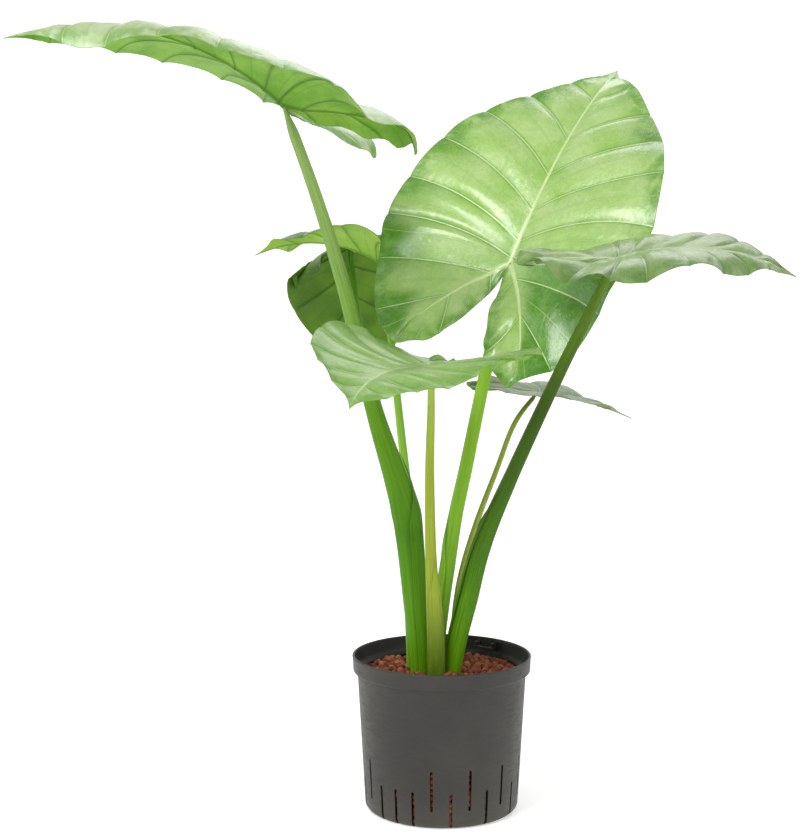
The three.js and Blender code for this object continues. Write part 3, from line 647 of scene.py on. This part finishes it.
def fired_clay():
    n = Nodes("fired_clay")
    where = n.add("ShaderNodeTexCoord").outputs["Object"]
    tint = n.attribute("tint").outputs["Fac"]
    rough = n.noise(where, 260, 6, 0.7)
    pores = n.voronoi(where, 900).outputs["Distance"]
    tone = n.mix(tint, linear(104, 50, 34), linear(168, 100, 68))
    tone = n.mix(n.fade(tint, 0.75, 1.0, 0.0, 0.7), tone, linear(176, 116, 88))
    tone = n.mix(n.fade(rough, 0.45, 0.7, 0.0, 0.6), tone, linear(84, 40, 32))
    tone = n.mix(n.fade(pores, 0.28, 0.1, 0.0, 0.5), tone, linear(58, 30, 26))
    height = n.math("ADD", rough, n.math("MULTIPLY", pores, 0.4))
    return n.surface(tone, 0.88, n.bump(height, 0.8, 0.0018), 0.25)


def clay_dark():
    n = Nodes("clay_shadow")
    where = n.add("ShaderNodeTexCoord").outputs["Object"]
    rough = n.noise(where, 160, 5, 0.7)
    tone = n.mix(n.fade(rough, 0.35, 0.7), linear(40, 22, 18), linear(86, 46, 36))
    return n.surface(tone, 0.95, n.bump(rough, 0.8, 0.003), 0.2)


def floor_material():
    n = Nodes("floor")
    where = n.add("ShaderNodeTexCoord").outputs["Object"]
    soft = n.noise(where, 3, 3, 0.5)
    tone = n.mix(soft, linear(248, 248, 247), linear(252, 252, 251))
    mat = n.surface(tone, 0.8, None, 0.1)
    shader = next(x for x in mat.node_tree.nodes if x.type == "BSDF_PRINCIPLED")
    shader.inputs["Emission Color"].default_value = (1, 1, 1, 1)
    shader.inputs["Emission Strength"].default_value = 0.37
    return mat


# Stems
def catmull(points, k):
    p = np.array(points, float)
    last = len(p) - 1
    place = k * last
    i = min(int(math.floor(place)), last - 1)
    x = place - i
    a = p[i - 1] if i > 0 else 2 * p[0] - p[1]
    b, c = p[i], p[i + 1]
    d = p[i + 2] if i + 2 <= last else 2 * p[last] - p[last - 1]
    ab, bc, cd = (((v - u) @ (v - u)) ** 0.25 for u, v in ((a, b), (b, c), (c, d)))
    m0 = ((b - a) / ab - (c - a) / (ab + bc) + (c - b) / bc) * bc
    m1 = ((c - b) / bc - (d - b) / (bc + cd) + (d - c) / cd) * bc
    return b + m0 * x + (3 * (c - b) - 2 * m0 - m1) * x**2 + (2 * (b - c) + m0 + m1) * x**3


def stem_frames(name, ks):
    path, width, depth = STEMS[name]
    pts = list(path) + [LEAVES[name]["at"]]
    at = np.linspace(0, 1, len(pts))
    out = []
    for k in ks:
        p = catmull(pts, k)
        way = catmull(pts, min(k + 1e-3, 1)) - catmull(pts, max(k - 1e-3, 0))
        way /= np.linalg.norm(way)
        wide = np.array([1.0, 0, 0]) - way * way[0]
        wide /= np.linalg.norm(wide)
        deep = np.cross(way, wide)
        out.append((p, wide, deep, np.interp(k, at, width) / 2, np.interp(k, at, depth) / 2))
    return out


def tube_faces(rings, sides):
    faces = []
    for i in range(rings - 1):
        for j in range(sides):
            a, b = i * sides + j, i * sides + (j + 1) % sides
            faces.append((a, b, b + sides, a + sides))
    faces.append(tuple(range(sides))[::-1])
    faces.append(tuple((rings - 1) * sides + j for j in range(sides)))
    return faces


def build_stem(name, material, groove, seed):
    """Stalk with fine ribs along it; groove is (angle in degrees, share of radius) of its channel."""
    rings, sides = 170, 56
    ks = np.concatenate([np.linspace(0, 0.9, 120, endpoint=False), np.linspace(0.9, 1, rings - 120)])
    rng = np.random.default_rng(seed)
    ph = rng.uniform(0, 6.28, 8)
    ang = 2 * np.pi * np.arange(sides) / sides
    verts, along, around = [], [], []
    length = 0
    before = None
    for k, (p, wide, deep, a, b) in zip(ks, stem_frames(name, ks)):
        if before is not None:
            length += np.linalg.norm(p - before)
        before = p
        neck = 1 - 0.62 * smooth(k, 0.962, 1.0)
        ridges = 0.012 * np.sin(9 * ang + ph[0] + 1.5 * k) + 0.008 * np.sin(17 * ang + ph[1] - k)
        g, share = groove
        off = (ang - math.radians(g) + np.pi) % (2 * np.pi) - np.pi
        chan = share * np.exp(-(off / 0.33) ** 2) * smooth(k, 0.0, 0.08) * (1 - 0.4 * smooth(k, 0.5, 0.95))
        lips = 0.35 * share * (np.exp(-((off - 0.62) / 0.2) ** 2) + np.exp(-((off + 0.62) / 0.2) ** 2))
        r = (0.985 + ridges - chan + lips) * neck
        ring = p + np.outer(a * r * np.cos(ang), wide) + np.outer(b * r * np.sin(ang), deep)
        verts.append(ring)
        along += [k] * sides
        around.append(np.stack([np.cos(ang), np.sin(ang), np.full(sides, length)], 1))
    ob = new_object("stalk_" + name, np.concatenate(verts), tube_faces(len(ks), sides), [material])
    add_attribute(ob, "along", along)
    add_attribute(ob, "around", np.concatenate(around))
    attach(ob, "root")
    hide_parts("stem_" + name)
    return ob


def build_sheath(name, material, slot, mid_deg, low_span, top_span, k0, k1, flare, lean):
    """Thin leaf sheath hugging the stalk from k0 to k1, its edges flared outwards, ending in a point."""
    rows, cols = 90, 26
    ks = np.linspace(k0, k1, rows)
    verts, inner, along, around, rim = [], [], [], [], []
    length = 0
    before = None
    for k, (p, wide, deep, a, b) in zip(ks, stem_frames(name, ks)):
        if before is not None:
            length += np.linalg.norm(p - before)
        before = p
        s = (k - k0) / (k1 - k0)
        full = low_span + (top_span - low_span) * s
        span = full * (1 - smooth(s, 0.62, 1.0))
        x = np.linspace(-1, 1, cols)
        ang = math.radians(mid_deg + lean * (full - span)) + np.radians(span) * x
        edge = np.abs(x) ** 5
        lift = 0.7 + edge * (flare * np.sin(np.pi * min(1, 0.15 + 0.85 * s)) + 0.3 * np.sin(5 * x + 9 * s))
        lift = lift * smooth(1 - s, 0.0, 0.03)
        for level, box in ((lift, verts), (lift - SHEATH_T, inner)):
            ring = np.outer((a + level) * np.cos(ang), wide) + np.outer((b + level) * np.sin(ang), deep)
            box.append(p + ring)
        along += [k] * cols
        around.append(np.stack([np.cos(ang), np.sin(ang), np.full(cols, length)], 1))
        rim += list(np.clip(np.abs(x) * 9 - 8, 0, 1))
    n = rows * cols
    faces = []
    for i in range(rows - 1):
        for j in range(cols - 1):
            a = i * cols + j
            faces.append((a, a + 1, a + 1 + cols, a + cols))
            faces.append((n + a, n + a + cols, n + a + 1 + cols, n + a + 1))
    border = list(range(cols)) + [i * cols + cols - 1 for i in range(1, rows)]
    border += [(rows - 1) * cols + j for j in range(cols - 2, -1, -1)]
    border += [i * cols for i in range(rows - 2, 0, -1)]
    for i, a in enumerate(border):
        b = border[(i + 1) % len(border)]
        faces.append((b, a, a + n, b + n))
    ob = new_object("sheath_" + name, np.concatenate(verts + inner), faces, [material])
    add_attribute(ob, "along", along * 2)
    add_attribute(ob, "around", np.concatenate(around * 2))
    add_attribute(ob, "rim", rim * 2)
    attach(ob, "root")
    return ob


# Pot
def wall_r(z):
    return BASE_R + (WALL_TOP_R - BASE_R) * min(max(z / (POT_H - COLLAR_H), 0), 1)


def lathe(profile, sides):
    verts, faces = [], []
    ang = 2 * np.pi * np.arange(sides) / sides
    for r, z in profile:
        verts.append(np.stack([r * np.cos(ang), r * np.sin(ang), np.full(sides, z)], 1))
    n = len(profile)
    for i in range(n - 1):
        for j in range(sides):
            k = (j + 1) % sides
            faces.append((i * sides + j, i * sides + k, (i + 1) * sides + k, (i + 1) * sides + j))
    return np.concatenate(verts), faces


def pot_profile():
    """Section from the middle of the underside, up the outside, over the rim and down the inside."""
    foot = wall_r(CORNER_R)
    neck = POT_H - COLLAR_H
    rim = POT_D / 2
    out = [(0.01, 1.6), (foot - 26, 1.6), (foot - 24, 0.0), (foot - CORNER_R, 0)]
    for i in range(1, 9):
        a = math.pi / 2 * i / 8
        out.append((foot - CORNER_R + CORNER_R * math.sin(a), CORNER_R - CORNER_R * math.cos(a)))
    for z in np.linspace(20, neck - 1.5, 12):
        out.append((wall_r(z), z))
    out += [(wall_r(neck) + 0.2, neck - 0.5), (wall_r(neck) + 0.9, neck + 0.4), (rim - 2.2, neck + 1.2)]
    out += [(rim - 1.3, neck + 2.2), (rim - 1.0, neck + 4)]
    out += [(rim - 0.55, POT_H - 5), (rim - 0.5, POT_H - 3.4)]
    for i in range(9):
        a = math.pi * i / 8
        out.append((rim - 1.5 + 1.5 * math.cos(a), POT_H - 1.5 + 1.5 * math.sin(a)))
    out += [(rim - 3.2, POT_H - 4), (rim - 1.8 - WALL, neck + 5), (rim - 2.6 - WALL, neck + 2.5)]
    out += [(wall_r(neck) - WALL, neck - 1)]
    for z in np.linspace(neck - 12, CORNER_R + 3, 10):
        out.append((wall_r(z) - WALL, z))
    out += [(foot - WALL - 0.6, FLOOR + 5), (foot - WALL - 2, FLOOR + 2)]
    out += [(foot - WALL - 6, FLOOR), (0.01, FLOOR)]
    return out


def round_the_pot(angle, r, s, z):
    """Point at radius r on the ray at an angle, then s sideways."""
    return r * math.cos(angle) - s * math.sin(angle), r * math.sin(angle) + s * math.cos(angle), z


def slot_cutters():
    verts, faces = [], []
    for i in range(SLOT_COUNT):
        angle = 2 * math.pi * (i + SLOT_TURN) / SLOT_COUNT
        long = i % 2 == 0 and i != SHORT_ODD_SLOT
        z0, z1 = (22, 72) if long else (-2, 45)
        inner = BASE_R - 8 if z0 > 0 else BASE_R - 6.5
        hw = SLOT_W / 2
        section = [(-hw, z0), (hw, z0)]
        if z0 > 0:
            section = [(hw * math.sin(a), z0 + hw - hw * math.cos(a)) for a in np.linspace(-1.5, 1.5, 7)]
        section += [(hw * math.cos(a), z1 - hw + hw * math.sin(a)) for a in np.linspace(0, math.pi, 9)]
        base = len(verts)
        m = len(section)
        for r in (inner, WALL_TOP_R + 4):
            for s, z in section:
                verts.append(round_the_pot(angle, r, s, z))
        faces.append([base + j for j in range(m)][::-1])
        faces.append([base + m + j for j in range(m)])
        for j in range(m):
            k = (j + 1) % m
            faces.append([base + j, base + k, base + m + k, base + m + j])
    return verts, faces


def rounded_block(angle, r0, r1, s0, s1, z0, z1, cut=0.6):
    """Block standing off the wall at an angle, with bevelled long edges."""
    verts = []
    section = [(s0 + cut, z0), (s1 - cut, z0), (s1, z0 + cut), (s1, z1 - cut),
               (s1 - cut, z1), (s0 + cut, z1), (s0, z1 - cut), (s0, z0 + cut)]
    for r, inset in ((r0, cut * 0.8), (r0 + cut, 0), (r1, 0)):
        for s, z in section:
            ms, mz = (s0 + s1) / 2, (z0 + z1) / 2
            s2 = s + (inset if s < ms else -inset)
            z2 = z + (inset if z < mz else -inset) * 0.5
            verts.append(round_the_pot(angle, r, s2, z2))
    m = len(section)
    faces = [list(range(m))[::-1], [2 * m + j for j in range(m)]]
    for i in range(2):
        for j in range(m):
            k = (j + 1) % m
            faces.append([i * m + j, i * m + k, (i + 1) * m + k, (i + 1) * m + j])
    return verts, faces


def apply_modifiers(ob):
    dg = bpy.context.evaluated_depsgraph_get()
    me = bpy.data.meshes.new_from_object(ob.evaluated_get(dg), depsgraph=dg)
    ob.modifiers.clear()
    ob.data = me


def build_pot(outside, inside):
    verts, faces = lathe(pot_profile(), 192)
    pot = new_object("pot_shell", verts, faces, [outside, inside])
    cut_v, cut_f = slot_cutters()
    cutter = new_object("slot_cutter", cut_v, cut_f, [inside])
    mod = pot.modifiers.new("slots", "BOOLEAN")
    mod.operation = "DIFFERENCE"
    mod.solver = "EXACT"
    mod.object = cutter
    apply_modifiers(pot)
    bpy.data.objects.remove(cutter)
    me = pot.data
    co = np.zeros(len(me.polygons) * 3)
    no = np.zeros(len(me.polygons) * 3)
    me.polygons.foreach_get("center", co)
    me.polygons.foreach_get("normal", no)
    co, no = co.reshape(-1, 3), no.reshape(-1, 3)
    inward = (co[:, 0] * no[:, 0] + co[:, 1] * no[:, 1]) < 0
    index = np.where((inward & (co[:, 2] > 0.004)) | ((no[:, 2] > 0.9) & (co[:, 2] < 0.02)), 1, 0)
    me.polygons.foreach_set("material_index", index.astype(np.int32))
    me.shade_smooth()
    me.set_sharp_from_angle(angle=math.radians(38))
    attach(pot, "root")
    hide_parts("pot")


def build_gauge_holder(material):
    """Small plate with a hole and two upright cheeks, on the inside of the wall."""
    spot = math.radians(GAUGE_DEG)
    r1 = POT_D / 2 - WALL - 0.5
    r0 = r1 - GAUGE_REACH
    z0, z1 = POT_H - 12, POT_H - 9.5
    z2, z3 = POT_H - 9.6, POT_H - 4
    parts = [rounded_block(spot, r0, r1, -14, -6, z0, z1),
             rounded_block(spot, r0, r1, 6, 14, z0, z1),
             rounded_block(spot, r0, r0 + 2.5, -6.2, 6.2, z0, z1),
             rounded_block(spot, r1 - 4.5, r1, -6.2, 6.2, z0, z1),
             rounded_block(spot, r0, r1, -13.2, -11.2, z2, z3, 0.4),
             rounded_block(spot, r0, r1, 11.2, 13.2, z2, z3, 0.4)]
    verts, faces = [], []
    for v, f in parts:
        faces += [[i + len(verts) for i in face] for face in f]
        verts += v
    holder = new_object("gauge_holder", verts, faces, [material])
    holder.data.set_sharp_from_angle(angle=math.radians(30))
    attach(holder, "root")


# Pellets
def icosphere(level):
    bm = bmesh.new()
    bmesh.ops.create_icosphere(bm, subdivisions=level, radius=1.0)
    verts = np.array([v.co[:] for v in bm.verts])
    faces = np.array([[v.index for v in f.verts] for f in bm.faces])
    bm.free()
    return verts, faces


PELLET_PITCH = 9.6


def pebble(rng, ball, centre, r):
    v = ball.copy()
    for _ in range(4):
        d = rng.normal(size=3)
        d /= np.linalg.norm(d)
        v += np.outer(np.clip(v @ d, 0, 1) ** 2 * rng.uniform(-0.3, 0.22), d)
    for _ in range(3):
        d = rng.normal(size=3) * 3.5
        v *= 1 + 0.05 * np.sin(v @ d + rng.uniform(0, 6))[:, None]
    q, _ = np.linalg.qr(rng.normal(size=(3, 3)))
    v = (v * rng.uniform(0.78, 1.12, 3)) @ q.T
    return v * r + centre


def build_pellets(clay, dark):
    rng = np.random.default_rng(11)
    ball, ball_faces = icosphere(2)
    stems = []
    for name in STEMS:
        for p, _, _, a, b in stem_frames(name, [0.09]):
            stems.append((p[0], p[1], a, b))

    def blocked(x, y, r):
        k = r / 2
        return any(((x - sx) / (a + k)) ** 2 + ((y - sy) / (b + k)) ** 2 < 1 for sx, sy, a, b in stems)

    spots = []

    def fill(level, r_lo, r_hi, jitter):
        pitch = PELLET_PITCH
        rows = int(math.ceil(POT_D / pitch)) + 1
        for i in range(-rows, rows + 1):
            for j in range(-rows, rows + 1):
                x = (i + 0.5 * (j % 2)) * pitch + rng.uniform(-jitter, jitter)
                y = j * pitch * 0.866 + rng.uniform(-jitter, jitter)
                r = rng.uniform(r_lo, r_hi)
                z = level + rng.uniform(-1.4, 1.4)
                if math.hypot(x, y) <= rim - r and not blocked(x, y, r):
                    spots.append(((x, y, z), r))

    rim = wall_r(BED_TOP - 6) - WALL - 0.4
    fill(BED_TOP - 4.9, 3.9, 5.2, 2.2)
    fill(BED_TOP - 9.8, 4.2, 5.0, 2.0)
    for i in range(SLOT_COUNT):
        angle = 2 * math.pi * (i + SLOT_TURN) / SLOT_COUNT
        for z in np.arange(8, 76, 7.2):
            zz = z + rng.uniform(-1, 1)
            rr = wall_r(zz) - WALL - 5.2
            spots.append((round_the_pot(angle, rr, 0, zz), rng.uniform(3.6, 4.6)))
    verts, faces, tint = [], [], []
    count = 0
    for centre, r in spots:
        v = pebble(rng, ball, np.array(centre), r)
        verts.append(v)
        faces.append(ball_faces + count)
        tint += [rng.uniform(0, 1)] * len(v)
        count += len(v)
    bed = new_object("pellets", np.concatenate(verts), np.concatenate(faces), [clay])
    add_attribute(bed, "tint", tint)
    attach(bed, "root")
    foot = wall_r(CORNER_R) - WALL - 8.5
    profile = [(0.01, 5), (foot - 4, 5), (foot, 10)]
    profile += [(wall_r(z) - WALL - 8, z) for z in np.linspace(16, BED_TOP - 14, 8)]
    profile += [(60, BED_TOP - 12), (0.01, BED_TOP - 12)]
    v, f = lathe(profile, 96)
    core = new_object("pellet_core", v, f, [dark])
    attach(core, "root")
    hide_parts("clay_pellets")


# Studio
def make_stage(material):
    """Round floor whose rim curves up far away, so that each view has the same plain ground."""
    profile = [(0.001, 0)] + [(r, 0) for r in np.linspace(0.5, 6.0, 12)]
    profile += [(6.0 + 1.5 * math.sin(a), 1.5 - 1.5 * math.cos(a)) for a in np.linspace(0.15, math.pi / 2, 9)]
    profile += [(7.5, 5.0)]
    verts, faces = lathe(profile, 72)
    ob = new_object("floor", verts, [f[::-1] for f in faces], [material], scale=1.0)


def area(name, place, aim, size, power):
    data = bpy.data.lights.new(name, "AREA")
    data.shape = "RECTANGLE"
    data.size, data.size_y = size
    data.energy = power
    ob = bpy.data.objects.new(name, data)
    ob.location = place
    ob.rotation_euler = (Vector(aim) - Vector(place)).to_track_quat("-Z", "Y").to_euler()
    bpy.context.scene.collection.objects.link(ob)


def make_lights():
    world = bpy.data.worlds.new("studio")
    world.use_nodes = True
    world.node_tree.nodes["Background"].inputs[0].default_value = (1.0, 1.0, 1.0, 1)
    world.node_tree.nodes["Background"].inputs[1].default_value = 0.47
    bpy.context.scene.world = world
    area("key", (-1.3, -1.5, 2.4), (0, 0, 0.6), (1.1, 1.1), 44)
    area("fill", (1.9, -1.5, 1.2), (0, 0, 0.6), (0.8, 1.6), 7)
    area("rear", (0.5, 1.7, 2.3), (0, 0, 0.7), (1.6, 1.0), 10)
    bpy.context.scene.view_settings.view_transform = "Standard"
    bpy.context.scene.view_settings.look = "None"


# Assembly
# Colours of each piece, and where its groove and sheath are
PALE_VEIN = linear(206, 228, 160)
TOPS = {
    "upper_left": (linear(196, 208, 174), linear(170, 192, 140), linear(98, 150, 44),
                   PALE_VEIN, 0.36, 0.35, 0.35),
    "centre": (linear(182, 210, 134), linear(146, 190, 84), linear(70, 134, 0), PALE_VEIN, 0.29, 0.7, 0.8),
    "right": (linear(148, 174, 112), linear(120, 152, 80), linear(76, 116, 30),
              linear(176, 200, 140), 0.33, 0.5, 0.35),
    "rear_left": (linear(140, 176, 86), linear(106, 152, 40), linear(66, 118, 10),
                  PALE_VEIN, 0.38, 0.3, 0.35),
    "front": (linear(160, 188, 120), linear(138, 176, 94), linear(96, 146, 44),
              linear(186, 212, 146), 0.38, 0.4, 0.45),
    "low_right": (linear(134, 154, 92), linear(112, 138, 66), linear(70, 102, 24),
                  linear(170, 188, 130), 0.4, 0.3, 0.35),
    # The hanging leaf's greens are darker than the other leaves': painted shade, for the shade it hangs in
    # behind them
    "hanging": (linear(106, 148, 30), linear(80, 124, 8), linear(50, 92, 2),
                linear(124, 164, 60), 0.45, 0.1, 0.25),
}
UNDERS = {
    "upper_left": (linear(138, 186, 64), linear(104, 158, 30), linear(58, 112, 4)),
    "centre": (linear(134, 182, 76), linear(106, 160, 46), linear(66, 118, 18)),
    "right": (linear(126, 160, 66), linear(96, 136, 38), linear(60, 98, 12)),
    "rear_left": (linear(160, 198, 76), linear(132, 180, 46), linear(86, 130, 12)),
    "front": (linear(142, 182, 80), linear(116, 164, 50), linear(80, 128, 20)),
    "low_right": (linear(140, 162, 80), linear(112, 140, 46), linear(74, 104, 18)),
    # The hanging leaf's underside is darker as well: painted shade
    "hanging": (linear(100, 142, 24), linear(74, 116, 6), linear(48, 86, 0)),
}

# Colours of a stalk from foot to top, then of its streaks
SKINS = {
    "upper_left": (linear(100, 156, 16), linear(66, 116, 0), linear(84, 130, 12),
                   linear(146, 172, 100), linear(44, 88, 0)),
    "right": (linear(104, 162, 8), linear(70, 118, 0), linear(50, 78, 0),
              linear(94, 126, 24), linear(30, 62, 0)),
    "front": (linear(44, 94, 0), linear(140, 158, 52), linear(142, 158, 46),
              linear(150, 178, 74), linear(108, 112, 18)),
    "centre": (linear(126, 180, 34), linear(132, 182, 48), linear(130, 174, 44),
               linear(122, 168, 54), linear(86, 138, 14)),
    "rear_left": (linear(120, 166, 42), linear(138, 184, 68), linear(130, 176, 56),
                  linear(116, 160, 52), linear(92, 140, 26)),
    "low_right": (linear(128, 148, 50), linear(150, 166, 74), linear(142, 158, 68),
                  linear(118, 136, 54), linear(96, 114, 28)),
    "hanging": (linear(106, 154, 34), linear(112, 162, 44), linear(102, 152, 36),
                linear(84, 134, 26), linear(72, 120, 12)),
}
STEM_SLOTS = dict(upper_left="stem_green", right="stem_dark", front="stem_yellow", centre="stem_green",
                  rear_left="stem_green", low_right="stem_yellow", hanging="stem_green")
GROOVES = dict(upper_left=(0, 0.1), right=(180, 0.08), front=(90, 0.1), centre=(200, 0.07),
               rear_left=(-90, 0.1), low_right=(180, 0.1), hanging=(-90, 0.1))

# Middle angle, half span at the foot and near the top, start and end along the stalk, flare, fixed edge
SHEATHS = {
    "upper_left": (-8, 96, 70, 0.06, 0.6, 2.2, 0),
    "right": (146, 76, 76, 0.06, 0.54, 2.6, 1),
    "centre": (200, 78, 56, 0.08, 0.5, 1.2, 0),
    "front": (-60, 80, 56, 0.08, 0.5, 0.9, 0),
}


def build_leaves():
    for i, (name, lf) in enumerate(LEAVES.items()):
        top = leaf_top("leaf_top_" + name, *TOPS[name])
        under = leaf_under("leaf_under_" + name, *UNDERS[name])
        build_blade(name, lf, [top, under], 20 + i)


def build_stalks():
    skins = {name: stem_skin("stalk_" + name, *tones) for name, tones in SKINS.items()}
    for i, name in enumerate(STEMS):
        build_stem(name, skins[name], GROOVES[name], 40 + i)
    for name, shape in SHEATHS.items():
        build_sheath(name, skins[name], STEM_SLOTS[name], *shape)


def main():
    make_camera()
    build_leaves()
    build_stalks()
    plastic = pot_plastic()
    build_pot(plastic, pot_inside())
    build_gauge_holder(plastic)
    build_pellets(fired_clay(), clay_dark())
    make_stage(floor_material())
    make_lights()


main()
